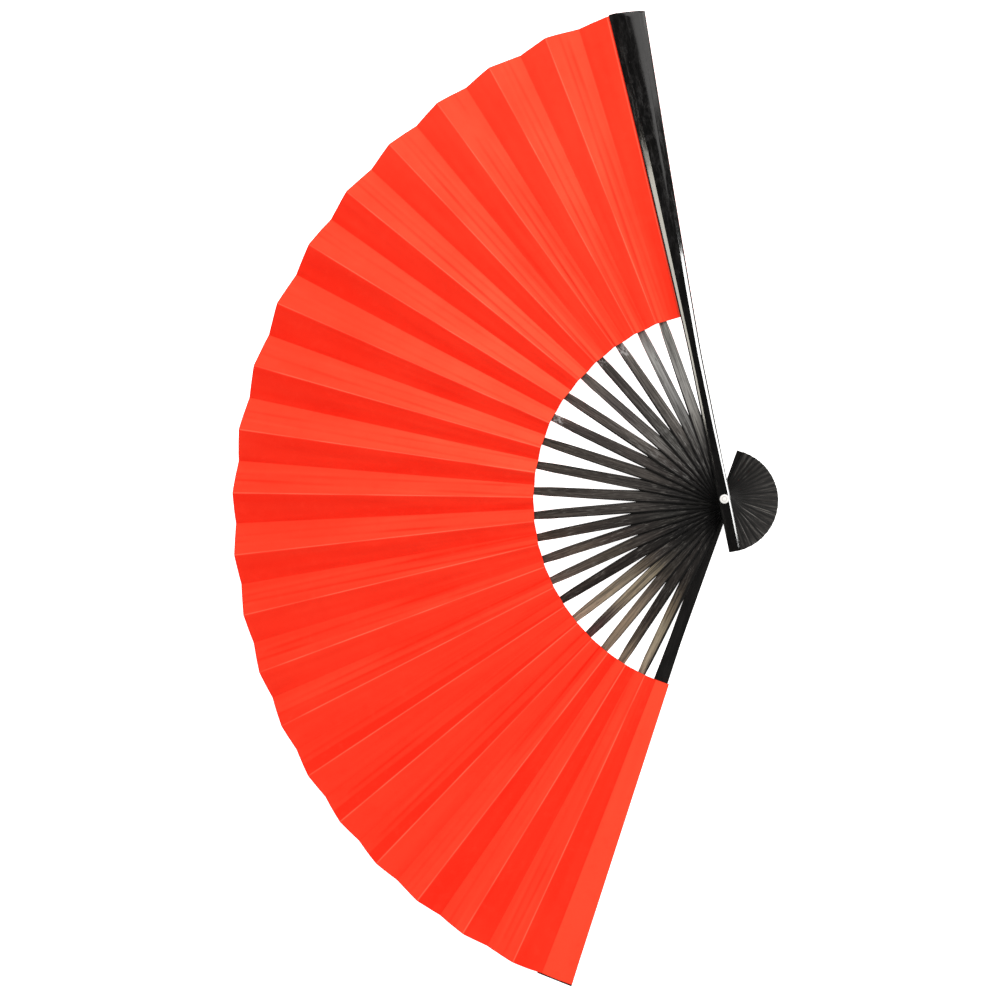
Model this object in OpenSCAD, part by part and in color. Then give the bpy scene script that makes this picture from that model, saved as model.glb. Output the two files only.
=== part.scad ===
// Folding hand fan with twenty ribs, two guards and a pleated leaf.
// The fan is modelled fully open and lying flat. The origin is on the rivet's
// axis at the rear guard's outer face, +Z runs along the rivet towards the
// front guard, and +Y runs from the rivet to the front guard's tip.
// Seen from the front, the fan opens counter-clockwise from +Y.

/* [Spread] */
// Angle between the two guards when the fan is fully open
spread = 149.3; // [120:0.1:155]
// Number of ribs between the guards
rib_count = 20; // [20:1:20]
// How much the ribs bunch up towards the ends of the sweep
spread_ease = 0.0344; // [0:0.0001:0.04]
// Extra opening of the first ribs next to the front guard
first_ease = 0.16; // [0:0.01:0.3]
// How far the ribs round the sixth one sit towards the front guard, in degrees
rib_gather = 0.45; // [0:0.05:0.8]

/* [Guards] */
// Length of a guard from the rivet to its tip
guard_length = 297.6; // [290:0.1:310]
// Thickness of a guard
guard_thickness = 2.7; // [2.6:0.1:4]
// Width of a guard at the rivet
guard_waist = 7.2; // [6.6:0.1:8]
// Width of a guard at its tip
guard_tip_width = 21.6; // [18:0.1:24]
// Distance from the rivet at which a guard starts to flare
guard_flare_start = 85; // [60:1:105]
// Width of the bevel along a guard's long edges at the rivet
guard_bevel = 1.3; // [0.8:0.1:1.6]
// Width of the bevel where the guard is widest
guard_bevel_wide = 3.6; // [2:0.1:4]
// Drop of a guard's crowned face from its middle to the bevels
guard_crown = 0.2; // [0.1:0.05:0.3]
// Slant of the front guard's tip, from its middle to either corner
guard_tip_slant = 1.3; // [0:0.1:2]
// Depth of the relief in a guard's inner face, where the leaf's end is glued
guard_relief = 0.35; // [0.32:0.01:0.5]

/* [Ribs] */
// Thickness of a rib between the rivet and the leaf
rib_thickness = 0.65; // [0.6:0.05:1.2]
// Free gap between stacked sticks
stick_gap = 0.1; // [0.08:0.01:0.2]
// Width of a rib halfway between the rivet and the leaf
rib_width = 6.8; // [6.4:0.1:7.4]
// Width of a rib where it reaches the leaf
rib_leaf_width = 5.5; // [4.6:0.1:6]
// Length of the tail behind the rivet
tail_length = 31.0; // [26:0.1:34]
// Thickness of the thinned tongue glued to the leaf
tongue_thickness = 0.35; // [0.25:0.05:0.55]
// Width of the tongue at its far end
tongue_tip_width = 2.5; // [2:0.1:3]

/* [Leaf] */
// Radius of the leaf's inner edge
leaf_inner = 112.5; // [112:0.1:120]
// Radius of the leaf's outer edge
leaf_outer = 295.6; // [285:0.1:296.5]
// Thickness of the leaf
leaf_thickness = 0.22; // [0.18:0.01:0.24]
// Share of each pitch taken by the panel glued to a rib
rib_panel_share = 0.53; // [0.5:0.01:0.56]
// Pleat height as a share of the pitch
pleat_height = 0.22; // [0.15:0.005:0.22]

/* [Rivet] */
// Diameter of the rivet's shank
rivet_diameter = 3.0; // [2.6:0.1:3.2]
// Diameter of the rivet's two heads
rivet_head_diameter = 5.4; // [4.8:0.1:5.4]
// Thickness of the rivet's heads
rivet_head_thickness = 0.9; // [0.7:0.1:1.2]
// How far the front head's dome stands proud of the guard
rivet_dome = 0.35; // [0.2:0.05:0.6]

/* [Hidden] */
$fn = 64;

guard_color = [0.07, 0.065, 0.065];
rib_color = [0.17, 0.15, 0.13];
leaf_color = [0.93, 0.16, 0.09];
rivet_color = [0.93, 0.92, 0.9];

// How far cutting shapes reach past the faces they cut
overcut = 1;

// ---- the stack of sticks ----
// Sticks are numbered from the front guard, 0, to the rear guard

rear_stick = rib_count + 1;
stick_pitch = rib_thickness + stick_gap;
// Inner and outer face of the front guard
front_z = guard_thickness + stick_gap + rib_count * stick_pitch;
top_z = front_z + guard_thickness;

// Rib in the middle of the gathered ones, and how many ribs the effect spans
gather_rib = 6;
gather_reach = 2.2;

// Direction of stick i, measured from the front guard
function stick_angle(i) =
    let (share = i / rear_stick,
         bunching = pow(max(0, sin(180 * pow(share, 1.2))), 1.5),
         opening = share * pow(1 - share, 14),
         gather = i == 0 || i == rear_stick ? 0
             : rib_gather * exp(-pow((i - gather_rib) / gather_reach, 2)))
    spread * (share + spread_ease * bunching + first_ease * opening) - gather;

// Mean angle between a rib and its two neighbours
function pitch(i) = (stick_angle(i + 1) - stick_angle(i - 1)) / 2;

// Underside of rib i; rib 1 lies just under the front guard
function rib_bottom(i) =
    guard_thickness + stick_gap + (rib_count - i) * stick_pitch;

// ---- rivet ----

// Running clearance between the shank and each stick's hole, on the radius
shank_clear = 0.05;
// Clearance round a head in its counterbore, on the radius, and beneath it
head_clear = 0.1;
head_seat_clear = 0.05;
// Depth of the socket in the rear head, and the shank's clearance in it
socket_depth = 0.5;
socket_clear = 0.02;
// Depth of the dome's rim below the front guard's outer face
dome_rim_depth = 0.12;
dome_steps = 8;

// Cutter for the shank's hole through a stick standing on z = 0
module shank_hole(thickness) {
    translate([0, 0, -overcut])
        cylinder(h = thickness + 2 * overcut, r = rivet_diameter / 2 + shank_clear);
}

// Shank and front head in one turned piece
module rivet_pin() {
    shank_radius = rivet_diameter / 2;
    head_radius = rivet_head_diameter / 2;
    foot_z = rivet_head_thickness - socket_depth + socket_clear;
    head_z = top_z - rivet_head_thickness;
    rim_z = top_z - dome_rim_depth;
    dome = [for (k = [1 : dome_steps])
        let (angle = 90 * k / dome_steps)
        [head_radius * cos(angle), rim_z + (rivet_dome + dome_rim_depth) * sin(angle)]];
    color(rivet_color) rotate_extrude($fn = 64) polygon(concat(
        [[0, foot_z], [shank_radius, foot_z], [shank_radius, head_z],
         [head_radius, head_z], [head_radius, rim_z]],
        dome));
}

// Rear head, set over the end of the shank and flush with the rear guard
module rivet_cap() {
    color(rivet_color) difference() {
        cylinder(h = rivet_head_thickness, r = rivet_head_diameter / 2);
        translate([0, 0, rivet_head_thickness - socket_depth])
            cylinder(h = socket_depth + overcut, r = rivet_diameter / 2 + socket_clear);
    }
}

// ---- guards ----

// Exponent of the flare's curve; 1 would be straight
flare_power = 1.15;
// Lengthwise stations from the start of the flare to the tip, less one
flare_steps = 14;
// Growth of the bevel's width with the half width, and its depth per width
bevel_growth = 0.55;
bevel_steepness = 0.42;
// Share of the face between the bevels that is flat at full thickness
crown_flat = 0.3;
// How much the tail's end is narrower than the waist, on each side
tail_narrowing = 0.2;
// How far the relief reaches inwards past the leaf's inner edge
relief_margin = 2;

// Half width of a guard at a distance from the rivet
function guard_half(radius) =
    guard_waist / 2 + (guard_tip_width - guard_waist) / 2
        * pow(max(0, (radius - guard_flare_start)
            / (guard_length - guard_flare_start)), flare_power);

// Cross-section of a guard at y, counter-clockwise from its lower left corner
// looking towards the rivet's side of +Y as x to the right and z up; slant is
// the drop in y from the middle to the right edge
function guard_section(y, slant) =
    let (half = guard_half(y) - (y < 0 ? tail_narrowing : 0),
         bevel = min(guard_bevel_wide,
                     guard_bevel + bevel_growth * (half - guard_waist / 2)),
         face = half - bevel,
         flat = crown_flat * face,
         bevel_top = guard_thickness - guard_crown,
         bevel_foot = bevel_top - bevel_steepness * bevel)
    [for (point = [[-half, 0], [half, 0], [half, bevel_foot], [face, bevel_top],
                   [flat, guard_thickness], [-flat, guard_thickness],
                   [-face, bevel_top], [-half, bevel_foot]])
        [point[0], y - slant * point[0] / half, point[1]]];

// Solid guard along +Y: its outer face is at z = guard_thickness, crowned in
// the middle and bevelled along both long edges
module guard_body(slant) {
    flare_step = (guard_length - guard_flare_start) / flare_steps;
    stations = concat([-tail_length, 0],
        [for (k = [0 : flare_steps]) guard_flare_start + flare_step * k]);
    end = len(stations) - 1;
    sections = [for (k = [0 : end])
        guard_section(stations[k], k == end ? slant : 0)];
    sides = len(sections[0]);
    walls = [for (k = [0 : end - 1]) for (j = [0 : sides - 1])
        let (near = sides * k, far = near + sides, next = (j + 1) % sides)
        each [[near + j, far + j, far + next], [near + j, far + next, near + next]]];
    tail_face = [for (j = [0 : sides - 1]) j];
    tip_face = [for (j = [sides - 1 : -1 : 0]) sides * end + j];
    polyhedron(points = [for (section = sections) each section],
               faces = concat(walls, [tail_face, tip_face]));
}

// Guard with its leaf relief, shank hole and counterbore for a rivet head
module guard(slant = 0) {
    difference() {
        guard_body(slant);
        translate([-guard_tip_width, leaf_inner - relief_margin, -overcut])
            cube([2 * guard_tip_width, guard_length, overcut + guard_relief]);
        shank_hole(guard_thickness);
        translate([0, 0, guard_thickness - rivet_head_thickness - head_seat_clear])
            cylinder(h = 2 * overcut, r = rivet_head_diameter / 2 + head_clear);
    }
}

module front_guard() {
    color(guard_color) translate([0, 0, front_z]) guard(guard_tip_slant);
}

// A guard with a square tip, turned over so its outer face is z = 0
module rear_guard() {
    color(guard_color) rotate([0, 0, spread])
        translate([0, 0, guard_thickness]) rotate([0, 180, 0]) guard();
}

// ---- ribs ----

// Step in from the rib's edge to the tongue's, on each side
tongue_shoulder = 0.4;
// Half width of the tongue where it leaves the thick part of the rib
tongue_root_half = rib_leaf_width / 2 - tongue_shoulder;
tongue_tip_half = tongue_tip_width / 2;
tongue_start = leaf_inner - 1.5;
tongue_end = leaf_outer - 1.2;
// Start of the ramp from the rib's full thickness down to the tongue
ramp_start = tongue_start - 8;

// Outline of a rib, seen from the front, tail at the bottom
module rib_outline() {
    // [half width, y] from the tail to the tip
    right = [
        [rib_width * 0.44, -tail_length],
        [rib_width * 0.48, -12],
        [rib_width * 0.5, 20],
        [rib_width * 0.5, 48],
        [rib_width * 0.465, 72],
        [rib_leaf_width / 2, ramp_start],
        [tongue_root_half, tongue_start],
        [tongue_tip_half, tongue_end]];
    left = [for (k = [len(right) - 1 : -1 : 0]) [-right[k][0], right[k][1]]];
    polygon(concat(right, left));
}

// Side view of a rib as [y, z], longer than the outline at both ends
module rib_profile() {
    polygon([
        [-tail_length - overcut, 0], [tongue_end + overcut, 0],
        [tongue_end + overcut, tongue_thickness],
        [tongue_start, tongue_thickness],
        [ramp_start, rib_thickness],
        [-tail_length - overcut, rib_thickness]]);
}

// Rib number i
module rib(i) {
    color(rib_color) rotate([0, 0, stick_angle(i)]) translate([0, 0, rib_bottom(i)])
        difference() {
            intersection() {
                linear_extrude(rib_thickness) rib_outline();
                rotate([90, 0, 90]) translate([0, 0, -rib_width])
                    linear_extrude(2 * rib_width) rib_profile();
            }
            shank_hole(rib_thickness);
        }
}

// ---- leaf ----

leaf_radii = [leaf_inner, leaf_outer];
// Half the leaf's thickness measured along z
sheet_half = 0.56 * leaf_thickness;
// Gaps from the leaf to a tongue and to the floor of a guard's relief
tongue_clear = 0.06;
relief_clear = 0.05;
// Side gap on each pleat where it meets its neighbour at a valley, and on
// pleat 0 at the front fold
crease_gap = 0.09;
// Angle from each guard to the fold beside it
front_fold = 2.3;
rear_fold = 1.55;
// Inset of the front end panel from the guard's long edge
front_end_inset = 1.4;
// Rear end panel: reach past the guard's middle at the leaf's inner edge, and
// growth of that reach per millimetre of radius
rear_end_reach = 5.2;
rear_end_growth = 0.0295;
// Slope of a glued panel across its rib
panel_slope = pleat_height / rib_panel_share;

// Half width of a tongue at a radius
function tongue_half(radius) =
    tongue_root_half + (tongue_tip_half - tongue_root_half)
        * (radius - leaf_inner) / (leaf_outer - leaf_inner);

// Middle of the glued panel's sheet above rib i, clear of the tongue's edge
function panel_z(i, radius) =
    rib_bottom(i) + tongue_thickness + tongue_clear + sheet_half
        + panel_slope * tongue_half(radius);

// Height from valley to mountain
function fold_height(i, radius) = radius * PI / 180 * pleat_height * pitch(i);

// Mountain crease i; number 0 is the fold at the front guard
function mountain_angle(i) =
    i == 0 ? front_fold : stick_angle(i) + rib_panel_share / 2 * pitch(i);
function mountain_z(i, radius) =
    i == 0 ? front_z + guard_relief - relief_clear - sheet_half
           : panel_z(i, radius) + fold_height(i, radius) / 2;

// Valley crease i; number rear_stick is the fold at the rear guard
function valley_angle(i) =
    i == rear_stick ? spread - rear_fold
                    : stick_angle(i) - rib_panel_share / 2 * pitch(i);
function valley_z(i, radius) =
    i == rear_stick ? guard_thickness - guard_relief + relief_clear + sheet_half
                    : panel_z(i, radius) - fold_height(i, radius) / 2;

// A point at an angle from the +Y axis, counter-clockwise
function polar(radius, angle, z) = [-radius * sin(angle), radius * cos(angle), z];

function gap_angle(radius) = crease_gap / radius * 180 / PI;

// Inner and outer end of a crease, moved sideways by a number of crease gaps
function mountain_line(i, gaps = 0) = [for (radius = leaf_radii)
    polar(radius, mountain_angle(i) + gaps * gap_angle(radius), mountain_z(i, radius))];
function valley_line(i, gaps = 0) = [for (radius = leaf_radii)
    polar(radius, valley_angle(i) + gaps * gap_angle(radius), valley_z(i, radius))];

// A solid sheet round its middle surface, given as a row of lines that each
// hold an inner and an outer point
module sheet(lines) {
    upper = [for (line = lines) for (point = line) point + [0, 0, sheet_half]];
    lower = [for (line = lines) for (point = line) point - [0, 0, sheet_half]];
    count = len(upper);
    panels = [for (a = [0 : 2 : count - 4])
        let (b = a + count)
        each [
            [a, a + 2, a + 3], [a, a + 3, a + 1],             // upper face
            [b, b + 3, b + 2], [b, b + 1, b + 3],             // lower face
            [a, b, b + 2], [a, b + 2, a + 2],                 // inner edge
            [a + 1, b + 3, b + 1], [a + 1, a + 3, b + 3]]];   // outer edge
    ends = [
        [0, 1, count + 1], [0, count + 1, count],
        [count - 2, 2 * count - 2, 2 * count - 1],
        [count - 2, 2 * count - 1, count - 1]];
    polyhedron(points = concat(upper, lower), faces = concat(panels, ends));
}

// Pleat over rib i, on to the next valley; pleat 0 starts at the front fold
module pleat(i) {
    next = valley_line(i + 1, -1);
    color(leaf_color) sheet(i == 0
        ? [mountain_line(0, 1), next]
        : [valley_line(i, 1), mountain_line(i), next]);
}

// End panel glued under the front guard
module leaf_front_end() {
    edge = [for (radius = leaf_radii)
        polar(radius, -atan((guard_half(radius) - front_end_inset) / radius),
              mountain_z(0, radius))];
    color(leaf_color) sheet([edge, mountain_line(0)]);
}

// End panel glued on the rear guard's inner face
module leaf_rear_end() {
    edge = [for (radius = leaf_radii)
        let (reach = rear_end_reach + (radius - leaf_inner) * rear_end_growth)
        polar(radius, spread + atan(reach / radius), valley_z(rear_stick, radius))];
    color(leaf_color) sheet([valley_line(rear_stick), edge]);
}

// ---- nodes ----

front_guard();
rear_guard();
rivet_pin();
rivet_cap();
leaf_front_end();
leaf_rear_end();

rib(1);  // rib_01
rib(2);  // rib_02
rib(3);  // rib_03
rib(4);  // rib_04
rib(5);  // rib_05
rib(6);  // rib_06
rib(7);  // rib_07
rib(8);  // rib_08
rib(9);  // rib_09
rib(10);  // rib_10
rib(11);  // rib_11
rib(12);  // rib_12
rib(13);  // rib_13
rib(14);  // rib_14
rib(15);  // rib_15
rib(16);  // rib_16
rib(17);  // rib_17
rib(18);  // rib_18
rib(19);  // rib_19
rib(20);  // rib_20

pleat(0);  // leaf_pleat_00
pleat(1);  // leaf_pleat_01
pleat(2);  // leaf_pleat_02
pleat(3);  // leaf_pleat_03
pleat(4);  // leaf_pleat_04
pleat(5);  // leaf_pleat_05
pleat(6);  // leaf_pleat_06
pleat(7);  // leaf_pleat_07
pleat(8);  // leaf_pleat_08
pleat(9);  // leaf_pleat_09
pleat(10);  // leaf_pleat_10
pleat(11);  // leaf_pleat_11
pleat(12);  // leaf_pleat_12
pleat(13);  // leaf_pleat_13
pleat(14);  // leaf_pleat_14
pleat(15);  // leaf_pleat_15
pleat(16);  // leaf_pleat_16
pleat(17);  // leaf_pleat_17
pleat(18);  // leaf_pleat_18
pleat(19);  // leaf_pleat_19
pleat(20);  // leaf_pleat_20
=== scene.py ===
"""Folding fan, opened flat on the floor.

The rivet's axis is Z, through the origin. The front guard lies on top and points along +Y;
the sticks turn from it toward -X and step down, one under another, to the rear guard on the
floor. Outlines are in mm and degrees; shader coordinates, lights and the camera in metres.
"""
import math

import bmesh
import bpy
import numpy as np
from mathutils import Matrix, Vector


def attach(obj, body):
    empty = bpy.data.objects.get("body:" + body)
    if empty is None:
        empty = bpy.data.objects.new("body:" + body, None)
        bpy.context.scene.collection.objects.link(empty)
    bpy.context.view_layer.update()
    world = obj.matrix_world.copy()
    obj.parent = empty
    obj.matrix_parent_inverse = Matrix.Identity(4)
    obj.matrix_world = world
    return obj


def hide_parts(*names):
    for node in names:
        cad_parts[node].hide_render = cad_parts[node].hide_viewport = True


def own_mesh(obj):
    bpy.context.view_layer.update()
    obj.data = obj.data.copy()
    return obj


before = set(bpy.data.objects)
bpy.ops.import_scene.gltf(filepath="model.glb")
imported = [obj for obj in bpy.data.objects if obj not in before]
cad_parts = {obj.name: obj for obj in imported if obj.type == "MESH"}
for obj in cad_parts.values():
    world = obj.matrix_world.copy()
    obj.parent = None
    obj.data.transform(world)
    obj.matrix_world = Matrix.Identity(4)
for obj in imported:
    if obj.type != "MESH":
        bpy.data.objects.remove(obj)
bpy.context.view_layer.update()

MM = 0.001
scene = bpy.context.scene

# ---------------------------------------------------------------- driving sizes (mm, degrees)
SPREAD = 149.3                  # from guard to guard
EASE = 0.0344                   # swell of the pitch along the sweep
FIRST = 0.16                    # extra opening beside the front guard
GATHER = 0.45                   # how far the sticks round number 6 are drawn back
RIBS = 20
LAST = RIBS + 1                 # the rear guard's number; the front guard is 0

GUARD_THICK, RIB_THICK, GAP = 2.7, 0.65, 0.1
LAYER = RIB_THICK + GAP
FRONT_Z = GUARD_THICK + GAP + RIBS * LAYER      # underside of the front guard
TOP_Z = FRONT_Z + GUARD_THICK
RELIEF = 0.35                   # depth cut from a guard's inner face where the leaf lies

LEAF_IN, LEAF_OUT = 112.5, 295.6                # the leaf's inner and outer radius
LEAF_LIFT = 0.56 * 0.22         # from the face under the leaf to the leaf's middle
GLUE_GAP, END_GAP = 0.06, 0.05
GLUED_SHARE = 0.53              # part of each pitch taken by the glued face
PLEAT_HEIGHT = 0.22             # pleat height as part of the pitch's arc
SLOPE = PLEAT_HEIGHT / GLUED_SHARE
END_MOUNTAIN = 2.3              # direction of the fold beside the front guard
END_VALLEY = SPREAD - 1.55      # direction of the fold beside the rear guard

RIB_WIDTH, LEAF_RIB_WIDTH, TAIL = 6.8, 5.5, 31.0
TONGUE_THICK, TONGUE_TIP_WIDTH, RIB_END = 0.35, 2.5, 294.4
TONGUE_ROOT_HALF = LEAF_RIB_WIDTH / 2 - 0.4

GUARD_LENGTH, GUARD_WAIST, GUARD_TIP, GUARD_FLARE = 297.6, 7.2, 21.6, 85.0

PIN_RADIUS, HOLE_RADIUS = 1.5, 1.55
HEAD_RADIUS, SEAT_RADIUS, SEAT_DEPTH = 2.7, 2.8, 0.95


# ---------------------------------------------------------------- curves and noise
def smooth(x):
    x = np.clip(x, 0, 1)
    return x * x * (3 - 2 * x)


def ease(x, zero, one):
    """Smooth step that is 0 at `zero` and 1 at `one`, in either direction."""
    return smooth((x - zero) / (one - zero))


def band(x, corners):
    """Smooth plateau; corners are where it starts, is full, is last full, and ends."""
    start, full, last_full, end = corners
    return ease(x, start, full) * ease(x, end, last_full)


def bell(x, centre, width):
    return np.exp(-((x - centre) / width) ** 2)


def lookup(x, table):
    """Straight-line interpolation in a table of (place, value) pairs."""
    places, values = zip(*table)
    return np.interp(x, places, values)


def lattice(ix, iy, seed):
    """Repeatable value from -1 to 1 for each whole-numbered point."""
    mixed = ix.astype(np.int64) * 374761393 + iy.astype(np.int64) * 668265263
    mixed = (mixed + seed * 974634777) & 0xFFFFFFFF
    mixed = ((mixed ^ (mixed >> 13)) * 1274126177) & 0xFFFFFFFF
    mixed = (mixed ^ (mixed >> 16)) & 0xFFFFFFFF
    return mixed / 4294967295.0 * 2 - 1


def value_noise(x, y, seed):
    x, y = np.broadcast_arrays(np.asarray(x, float), np.asarray(y, float))
    ix, iy = np.floor(x), np.floor(y)
    fx, fy = x - ix, y - iy
    fx = fx * fx * fx * (fx * (fx * 6 - 15) + 10)
    fy = fy * fy * fy * (fy * (fy * 6 - 15) + 10)
    near = lattice(ix, iy, seed) * (1 - fx) + lattice(ix + 1, iy, seed) * fx
    far = lattice(ix, iy + 1, seed) * (1 - fx) + lattice(ix + 1, iy + 1, seed) * fx
    return near * (1 - fy) + far * fy


# ---------------------------------------------------------------- the fan's rule
def direction(i):
    """Direction of stick i, turned from +Y toward -X."""
    share = i / LAST
    gathered = 0.0 if i in (0, LAST) else GATHER * bell(i, 6, 2.2)
    swell = math.sin(math.radians(180 * share ** 1.2)) ** 1.5
    return SPREAD * (share + EASE * swell + FIRST * share * (1 - share) ** 14) - gathered


def pitch(i):
    return (direction(i + 1) - direction(i - 1)) / 2


def rib_base(i):
    """Height of rib i's underside."""
    return GUARD_THICK + GAP + (RIBS - i) * LAYER


def arc(radius, degrees):
    return radius * math.pi / 180 * degrees


def tongue_half(radius):
    along = (radius - LEAF_IN) / (LEAF_OUT - LEAF_IN)
    return TONGUE_ROOT_HALF + (TONGUE_TIP_WIDTH / 2 - TONGUE_ROOT_HALF) * along


def pleat_mid(i, radius):
    return rib_base(i) + TONGUE_THICK + GLUE_GAP + LEAF_LIFT + SLOPE * tongue_half(radius)


def pleat_height(i, radius):
    return arc(radius, PLEAT_HEIGHT * pitch(i))


def mountain_dir(i):
    return END_MOUNTAIN if i == 0 else direction(i) + GLUED_SHARE / 2 * pitch(i)


def valley_dir(i):
    return END_VALLEY if i == LAST else direction(i) - GLUED_SHARE / 2 * pitch(i)


def mountain_z(i, radius):
    if i == 0:
        return FRONT_Z + RELIEF - END_GAP - LEAF_LIFT
    return pleat_mid(i, radius) + pleat_height(i, radius) / 2


def valley_z(i, radius):
    if i == LAST:
        return GUARD_THICK - RELIEF + END_GAP + LEAF_LIFT
    return pleat_mid(i, radius) - pleat_height(i, radius) / 2


def guard_half(radius):
    flare = np.maximum(0.0, (radius - GUARD_FLARE) / (GUARD_LENGTH - GUARD_FLARE))
    return GUARD_WAIST / 2 + (GUARD_TIP - GUARD_WAIST) / 2 * flare ** 1.15


def place(across, along, z, turn):
    """Point given in the frame of a stick that points in direction `turn`."""
    sin, cos = math.sin(math.radians(turn)), math.cos(math.radians(turn))
    return across * cos - along * sin, across * sin + along * cos, z


# ---------------------------------------------------------------- mesh helpers
def face_outward(mesh):
    bm = bmesh.new()
    bm.from_mesh(mesh)
    bmesh.ops.recalc_face_normals(bm, faces=bm.faces)
    bm.to_mesh(mesh)
    bm.free()
    mesh.update()


def shade_smooth(mesh, sharp_angle):
    mesh.polygons.foreach_set("use_smooth", [True] * len(mesh.polygons))
    mesh.set_sharp_from_angle(angle=math.radians(sharp_angle))


def new_object(name, shape, material, sharp_angle, attributes=None):
    """Object from a shape, a pair of vertices (mm) and faces."""
    verts, faces = shape
    mesh = bpy.data.meshes.new(name)
    mesh.from_pydata([tuple(float(c) * MM for c in v) for v in verts], [], faces)
    mesh.update()
    for key, values in (attributes or {}).items():
        layer = mesh.attributes.new(key, "FLOAT", "POINT")
        layer.data.foreach_set("value", np.asarray(values, np.float32))
    shade_smooth(mesh, sharp_angle)
    ob = bpy.data.objects.new(name, mesh)
    scene.collection.objects.link(ob)
    mesh.materials.append(material)
    face_outward(mesh)
    return ob


def register(ob, body, replaces=None):
    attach(ob, body)
    if replaces:
        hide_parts(replaces)


def slab(top, low):
    """Closed sheet from two grids of points (rows, columns, 3)."""
    rows, cols = top.shape[:2]
    below = rows * cols
    faces = []

    def at(row, col):
        return row * cols + col

    def wall(a, b):
        faces.append((a, b, below + b, below + a))

    for row in range(rows - 1):
        for col in range(cols - 1):
            quad = (at(row, col), at(row, col + 1), at(row + 1, col + 1), at(row + 1, col))
            faces.append((quad[0], quad[3], quad[2], quad[1]))
            faces.append(tuple(below + corner for corner in quad))
    for col in range(cols - 1):
        wall(at(0, col), at(0, col + 1))
        wall(at(rows - 1, col + 1), at(rows - 1, col))
    for row in range(rows - 1):
        wall(at(row + 1, 0), at(row, 0))
        wall(at(row, cols - 1), at(row + 1, cols - 1))
    return np.concatenate([top.reshape(-1, 3), low.reshape(-1, 3)]), faces


def loft(rings):
    """Closed body from equal rings of points, ends filled."""
    size, count = len(rings[0]), len(rings)
    faces = []
    for a in range(count - 1):
        for j in range(size):
            k = (j + 1) % size
            faces.append((a * size + j, a * size + k, (a + 1) * size + k, (a + 1) * size + j))
    faces.append(tuple(range(size - 1, -1, -1)))
    faces.append(tuple((count - 1) * size + j for j in range(size)))
    return [point for ring in rings for point in ring], faces


def lathe(profile, segments):
    """Closed body about Z from (radius, height) points that start and end on the axis."""
    verts, faces, rows = [], [], []
    for radius, z in profile:
        first = len(verts)
        if radius < 1e-9:
            verts.append((0, 0, z))
        else:
            for k in range(segments):
                turn = 2 * math.pi * k / segments
                verts.append((radius * math.cos(turn), radius * math.sin(turn), z))
        rows.append(list(range(first, len(verts))))
    for low, high in zip(rows[:-1], rows[1:]):
        for k in range(segments):
            j = (k + 1) % segments
            if len(low) == 1:
                faces.append((low[0], high[j], high[k]))
            elif len(high) == 1:
                faces.append((low[k], low[j], high[0]))
            else:
                faces.append((low[k], low[j], high[j], high[k]))
    return verts, faces


def cut(ob, profile, segments, sharp_angle):
    """Takes a lathed cutter about the rivet's axis out of ob and keeps plain mesh."""
    verts, faces = lathe(profile, segments)
    mesh = bpy.data.meshes.new("cutter")
    mesh.from_pydata([tuple(c * MM for c in v) for v in verts], [], faces)
    cutter = bpy.data.objects.new("cutter", mesh)
    scene.collection.objects.link(cutter)
    face_outward(mesh)
    modifier = ob.modifiers.new("cut", "BOOLEAN")
    modifier.operation = "DIFFERENCE"
    modifier.solver = "EXACT"
    modifier.object = cutter
    depsgraph = bpy.context.evaluated_depsgraph_get()
    result = bpy.data.meshes.new_from_object(ob.evaluated_get(depsgraph))
    ob.modifiers.clear()
    old = ob.data
    ob.data = result
    result.name = ob.name
    bpy.data.meshes.remove(old)
    bpy.data.objects.remove(cutter)
    bpy.data.meshes.remove(mesh)
    shade_smooth(result, sharp_angle)


# ---------------------------------------------------------------- shader helpers
def feed(tree, socket, value):
    """Links an output to the socket, or sets the socket's own value."""
    if isinstance(value, bpy.types.NodeSocket):
        tree.links.new(value, socket)
    elif socket.type == "RGBA":
        socket.default_value = (*value, 1)
    else:
        socket.default_value = value


def add_node(tree, kind, inputs=None, **props):
    node = tree.nodes.new("ShaderNode" + kind)
    for key, value in props.items():
        setattr(node, key, value)
    for key, value in (inputs or {}).items():
        feed(tree, node.inputs[key], value)
    return node


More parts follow.
